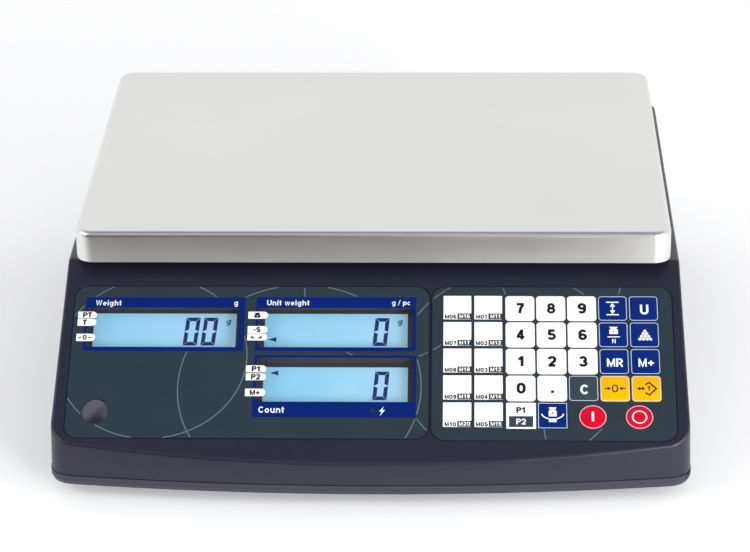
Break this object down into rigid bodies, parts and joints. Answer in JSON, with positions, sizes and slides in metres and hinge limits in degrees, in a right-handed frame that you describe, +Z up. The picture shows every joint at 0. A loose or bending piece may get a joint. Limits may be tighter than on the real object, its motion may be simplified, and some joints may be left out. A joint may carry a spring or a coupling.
{
  "type": "counting scale",
  "caption": "Bench counting scale: stainless platter on a dark plastic housing with a sloping panel of LCD windows and membrane keys.",
  "frame": {"origin": "under the middle of the body, on the surface that the feet stand on", "axes": "+Z up, the display panel faces -Y, +X to the right seen from the front"},
  "size_m": [0.3144, 0.325, 0.105],
  "materials": {
    "housing_plastic": "fine satin moulded texture, dark slate",
    "base_plastic": "fine satin moulded texture, grey",
    "overlay_film": "printed satin polyester film",
    "key_white": "printed satin film",
    "key_blue": "printed satin film",
    "key_yellow": "printed satin film",
    "key_slate": "printed satin film",
    "key_red": "printed satin film",
    "stainless_sheet": "finely brushed stainless sheet",
    "cast_aluminium": "die cast",
    "cell_aluminium": "machined and anodised",
    "plate_steel": "zinc plated steel sheet",
    "foot_steel": "zinc plated steel",
    "rubber": "black rubber",
    "circuit_board": "green solder mask",
    "circuit_film": "printed circuit film",
    "lcd_glass": "backlit liquid crystal display, pale blue",
    "battery_case": "black moulded case",
    "vial_acrylic": "clear acrylic with a green liquid",
    "jack_plastic": "black moulded plastic"
  },
  "bodies": {
    "root": {"base_housing": "base_plastic", "battery": "battery_case", "display_board": "circuit_board", "display_overlay": "overlay_film", "keypad_circuit": "circuit_film", "keypad_overlay": "overlay_film", "lcd_count": "lcd_glass", "lcd_unit_weight": "lcd_glass", "lcd_weight": "lcd_glass", "level_vial": "vial_acrylic", "load_cell": "cell_aluminium", "main_board": "circuit_board", "mounting_plate": "plate_steel", "power_jack": "jack_plastic", "top_housing": "housing_plastic"},
    "platter_support": {"platter_support": "cast_aluminium"},
    "platter": {"platter": "stainless_sheet"},
    "battery_door": {"battery_door": "base_plastic"},
    "key_0": {"key_0": "key_white"},
    "key_1": {"key_1": "key_white"},
    "key_2": {"key_2": "key_white"},
    "key_3": {"key_3": "key_white"},
    "key_4": {"key_4": "key_white"},
    "key_5": {"key_5": "key_white"},
    "key_6": {"key_6": "key_white"},
    "key_7": {"key_7": "key_white"},
    "key_8": {"key_8": "key_white"},
    "key_9": {"key_9": "key_white"},
    "key_clear": {"key_clear": "key_slate"},
    "key_memory_add": {"key_memory_add": "key_blue"},
    "key_memory_recall": {"key_memory_recall": "key_blue"},
    "key_off": {"key_off": "key_red"},
    "key_on": {"key_on": "key_red"},
    "key_page": {"key_page": "key_white"},
    "key_point": {"key_point": "key_white"},
    "key_preset_1": {"key_preset_1": "key_white"},
    "key_preset_10": {"key_preset_10": "key_white"},
    "key_preset_2": {"key_preset_2": "key_white"},
    "key_preset_3": {"key_preset_3": "key_white"},
    "key_preset_4": {"key_preset_4": "key_white"},
    "key_preset_5": {"key_preset_5": "key_white"},
    "key_preset_6": {"key_preset_6": "key_white"},
    "key_preset_7": {"key_preset_7": "key_white"},
    "key_preset_8": {"key_preset_8": "key_white"},
    "key_preset_9": {"key_preset_9": "key_white"},
    "key_sample_count": {"key_sample_count": "key_blue"},
    "key_sample_weight": {"key_sample_weight": "key_blue"},
    "key_tare": {"key_tare": "key_yellow"},
    "key_units": {"key_units": "key_blue"},
    "key_up_down": {"key_up_down": "key_blue"},
    "key_weighing": {"key_weighing": "key_blue"},
    "key_zero": {"key_zero": "key_yellow"},
    "foot_pad_1": {"foot_pad_1": "rubber"},
    "foot_screw_1": {"foot_screw_1": "foot_steel"},
    "foot_pad_2": {"foot_pad_2": "rubber"},
    "foot_screw_2": {"foot_screw_2": "foot_steel"},
    "foot_pad_3": {"foot_pad_3": "rubber"},
    "foot_screw_3": {"foot_screw_3": "foot_steel"},
    "foot_pad_4": {"foot_pad_4": "rubber"},
    "foot_screw_4": {"foot_screw_4": "foot_steel"}
  },
  "joints": [
    {"name": "foot_height_1", "type": "slide", "parent": "root", "child": "foot_pad_1", "axis": [0, 0, -1], "range_m": [0, 0.006]},
    {"name": "foot_turn_1", "type": "hinge", "parent": "foot_pad_1", "child": "foot_screw_1", "pos_m": [-0.128, -0.118, 0.0057], "axis": [0, 0, -1], "range_deg": [0, 1728]},
    {"name": "foot_height_2", "type": "slide", "parent": "root", "child": "foot_pad_2", "axis": [0, 0, -1], "range_m": [0, 0.006]},
    {"name": "foot_turn_2", "type": "hinge", "parent": "foot_pad_2", "child": "foot_screw_2", "pos_m": [0.128, -0.118, 0.0057], "axis": [0, 0, -1], "range_deg": [0, 1728]},
    {"name": "foot_height_3", "type": "slide", "parent": "root", "child": "foot_pad_3", "axis": [0, 0, -1], "range_m": [0, 0.006]},
    {"name": "foot_turn_3", "type": "hinge", "parent": "foot_pad_3", "child": "foot_screw_3", "pos_m": [-0.128, 0.138, 0.0057], "axis": [0, 0, -1], "range_deg": [0, 1728]},
    {"name": "foot_height_4", "type": "slide", "parent": "root", "child": "foot_pad_4", "axis": [0, 0, -1], "range_m": [0, 0.006]},
    {"name": "foot_turn_4", "type": "hinge", "parent": "foot_pad_4", "child": "foot_screw_4", "pos_m": [0.128, 0.138, 0.0057], "axis": [0, 0, -1], "range_deg": [0, 1728]},
    {"name": "weighing_travel", "type": "slide", "parent": "root", "child": "platter_support", "axis": [0, 0, 1], "range_m": [-0.0005, 0], "stiffness_N_per_m": 60000, "springref_m": 0.0005, "deforming": ["load_cell"]},
    {"name": "platter_lift", "type": "slide", "parent": "platter_support", "child": "platter", "axis": [0, 0, 1], "range_m": [0, 0.045]},
    {"name": "battery_door_slide", "type": "slide", "parent": "root", "child": "battery_door", "axis": [0, 1, 0], "range_m": [0, 0.06]},
    {"name": "press_0", "type": "slide", "parent": "root", "child": "key_0", "axis": [0, 0.521, -0.8536], "range_m": [0, 0.0004], "stiffness_N_per_m": 1500, "springref_m": -0.0006},
    {"name": "press_1", "type": "slide", "parent": "root", "child": "key_1", "axis": [0, 0.521, -0.8536], "range_m": [0, 0.0004], "stiffness_N_per_m": 1500, "springref_m": -0.0006},
    {"name": "press_2", "type": "slide", "parent": "root", "child": "key_2", "axis": [0, 0.521, -0.8536], "range_m": [0, 0.0004], "stiffness_N_per_m": 1500, "springref_m": -0.0006},
    {"name": "press_3", "type": "slide", "parent": "root", "child": "key_3", "axis": [0, 0.521, -0.8536], "range_m": [0, 0.0004], "stiffness_N_per_m": 1500, "springref_m": -0.0006},
    {"name": "press_4", "type": "slide", "parent": "root", "child": "key_4", "axis": [0, 0.521, -0.8536], "range_m": [0, 0.0004], "stiffness_N_per_m": 1500, "springref_m": -0.0006},
    {"name": "press_5", "type": "slide", "parent": "root", "child": "key_5", "axis": [0, 0.521, -0.8536], "range_m": [0, 0.0004], "stiffness_N_per_m": 1500, "springref_m": -0.0006},
    {"name": "press_6", "type": "slide", "parent": "root", "child": "key_6", "axis": [0, 0.521, -0.8536], "range_m": [0, 0.0004], "stiffness_N_per_m": 1500, "springref_m": -0.0006},
    {"name": "press_7", "type": "slide", "parent": "root", "child": "key_7", "axis": [0, 0.521, -0.8536], "range_m": [0, 0.0004], "stiffness_N_per_m": 1500, "springref_m": -0.0006},
    {"name": "press_8", "type": "slide", "parent": "root", "child": "key_8", "axis": [0, 0.521, -0.8536], "range_m": [0, 0.0004], "stiffness_N_per_m": 1500, "springref_m": -0.0006},
    {"name": "press_9", "type": "slide", "parent": "root", "child": "key_9", "axis": [0, 0.521, -0.8536], "range_m": [0, 0.0004], "stiffness_N_per_m": 1500, "springref_m": -0.0006},
    {"name": "press_clear", "type": "slide", "parent": "root", "child": "key_clear", "axis": [0, 0.521, -0.8536], "range_m": [0, 0.0004], "stiffness_N_per_m": 1500, "springref_m": -0.0006},
    {"name": "press_memory_add", "type": "slide", "parent": "root", "child": "key_memory_add", "axis": [0, 0.521, -0.8536], "range_m": [0, 0.0004], "stiffness_N_per_m": 1500, "springref_m": -0.0006},
    {"name": "press_memory_recall", "type": "slide", "parent": "root", "child": "key_memory_recall", "axis": [0, 0.521, -0.8536], "range_m": [0, 0.0004], "stiffness_N_per_m": 1500, "springref_m": -0.0006},
    {"name": "press_off", "type": "slide", "parent": "root", "child": "key_off", "axis": [0, 0.521, -0.8536], "range_m": [0, 0.0004], "stiffness_N_per_m": 1500, "springref_m": -0.0006},
    {"name": "press_on", "type": "slide", "parent": "root", "child": "key_on", "axis": [0, 0.521, -0.8536], "range_m": [0, 0.0004], "stiffness_N_per_m": 1500, "springref_m": -0.0006},
    {"name": "press_page", "type": "slide", "parent": "root", "child": "key_page", "axis": [0, 0.521, -0.8536], "range_m": [0, 0.0004], "stiffness_N_per_m": 1500, "springref_m": -0.0006},
    {"name": "press_point", "type": "slide", "parent": "root", "child": "key_point", "axis": [0, 0.521, -0.8536], "range_m": [0, 0.0004], "stiffness_N_per_m": 1500, "springref_m": -0.0006},
    {"name": "press_preset_1", "type": "slide", "parent": "root", "child": "key_preset_1", "axis": [0, 0.521, -0.8536], "range_m": [0, 0.0004], "stiffness_N_per_m": 1500, "springref_m": -0.0006},
    {"name": "press_preset_10", "type": "slide", "parent": "root", "child": "key_preset_10", "axis": [0, 0.521, -0.8536], "range_m": [0, 0.0004], "stiffness_N_per_m": 1500, "springref_m": -0.0006},
    {"name": "press_preset_2", "type": "slide", "parent": "root", "child": "key_preset_2", "axis": [0, 0.521, -0.8536], "range_m": [0, 0.0004], "stiffness_N_per_m": 1500, "springref_m": -0.0006},
    {"name": "press_preset_3", "type": "slide", "parent": "root", "child": "key_preset_3", "axis": [0, 0.521, -0.8536], "range_m": [0, 0.0004], "stiffness_N_per_m": 1500, "springref_m": -0.0006},
    {"name": "press_preset_4", "type": "slide", "parent": "root", "child": "key_preset_4", "axis": [0, 0.521, -0.8536], "range_m": [0, 0.0004], "stiffness_N_per_m": 1500, "springref_m": -0.0006},
    {"name": "press_preset_5", "type": "slide", "parent": "root", "child": "key_preset_5", "axis": [0, 0.521, -0.8536], "range_m": [0, 0.0004], "stiffness_N_per_m": 1500, "springref_m": -0.0006},
    {"name": "press_preset_6", "type": "slide", "parent": "root", "child": "key_preset_6", "axis": [0, 0.521, -0.8536], "range_m": [0, 0.0004], "stiffness_N_per_m": 1500, "springref_m": -0.0006},
    {"name": "press_preset_7", "type": "slide", "parent": "root", "child": "key_preset_7", "axis": [0, 0.521, -0.8536], "range_m": [0, 0.0004], "stiffness_N_per_m": 1500, "springref_m": -0.0006},
    {"name": "press_preset_8", "type": "slide", "parent": "root", "child": "key_preset_8", "axis": [0, 0.521, -0.8536], "range_m": [0, 0.0004], "stiffness_N_per_m": 1500, "springref_m": -0.0006},
    {"name": "press_preset_9", "type": "slide", "parent": "root", "child": "key_preset_9", "axis": [0, 0.521, -0.8536], "range_m": [0, 0.0004], "stiffness_N_per_m": 1500, "springref_m": -0.0006},
    {"name": "press_sample_count", "type": "slide", "parent": "root", "child": "key_sample_count", "axis": [0, 0.521, -0.8536], "range_m": [0, 0.0004], "stiffness_N_per_m": 1500, "springref_m": -0.0006},
    {"name": "press_sample_weight", "type": "slide", "parent": "root", "child": "key_sample_weight", "axis": [0, 0.521, -0.8536], "range_m": [0, 0.0004], "stiffness_N_per_m": 1500, "springref_m": -0.0006},
    {"name": "press_tare", "type": "slide", "parent": "root", "child": "key_tare", "axis": [0, 0.521, -0.8536], "range_m": [0, 0.0004], "stiffness_N_per_m": 1500, "springref_m": -0.0006},
    {"name": "press_units", "type": "slide", "parent": "root", "child": "key_units", "axis": [0, 0.521, -0.8536], "range_m": [0, 0.0004], "stiffness_N_per_m": 1500, "springref_m": -0.0006},
    {"name": "press_up_down", "type": "slide", "parent": "root", "child": "key_up_down", "axis": [0, 0.521, -0.8536], "range_m": [0, 0.0004], "stiffness_N_per_m": 1500, "springref_m": -0.0006},
    {"name": "press_weighing", "type": "slide", "parent": "root", "child": "key_weighing", "axis": [0, 0.521, -0.8536], "range_m": [0, 0.0004], "stiffness_N_per_m": 1500, "springref_m": -0.0006},
    {"name": "press_zero", "type": "slide", "parent": "root", "child": "key_zero", "axis": [0, 0.521, -0.8536], "range_m": [0, 0.0004], "stiffness_N_per_m": 1500, "springref_m": -0.0006}
  ],
  "couplings": [
    {"joint": "foot_height_1", "follows": "foot_turn_1", "m_per_rad": 0.00019894},
    {"joint": "foot_height_2", "follows": "foot_turn_2", "m_per_rad": 0.00019894},
    {"joint": "foot_height_3", "follows": "foot_turn_3", "m_per_rad": 0.00019894},
    {"joint": "foot_height_4", "follows": "foot_turn_4", "m_per_rad": 0.00019894}
  ]
}
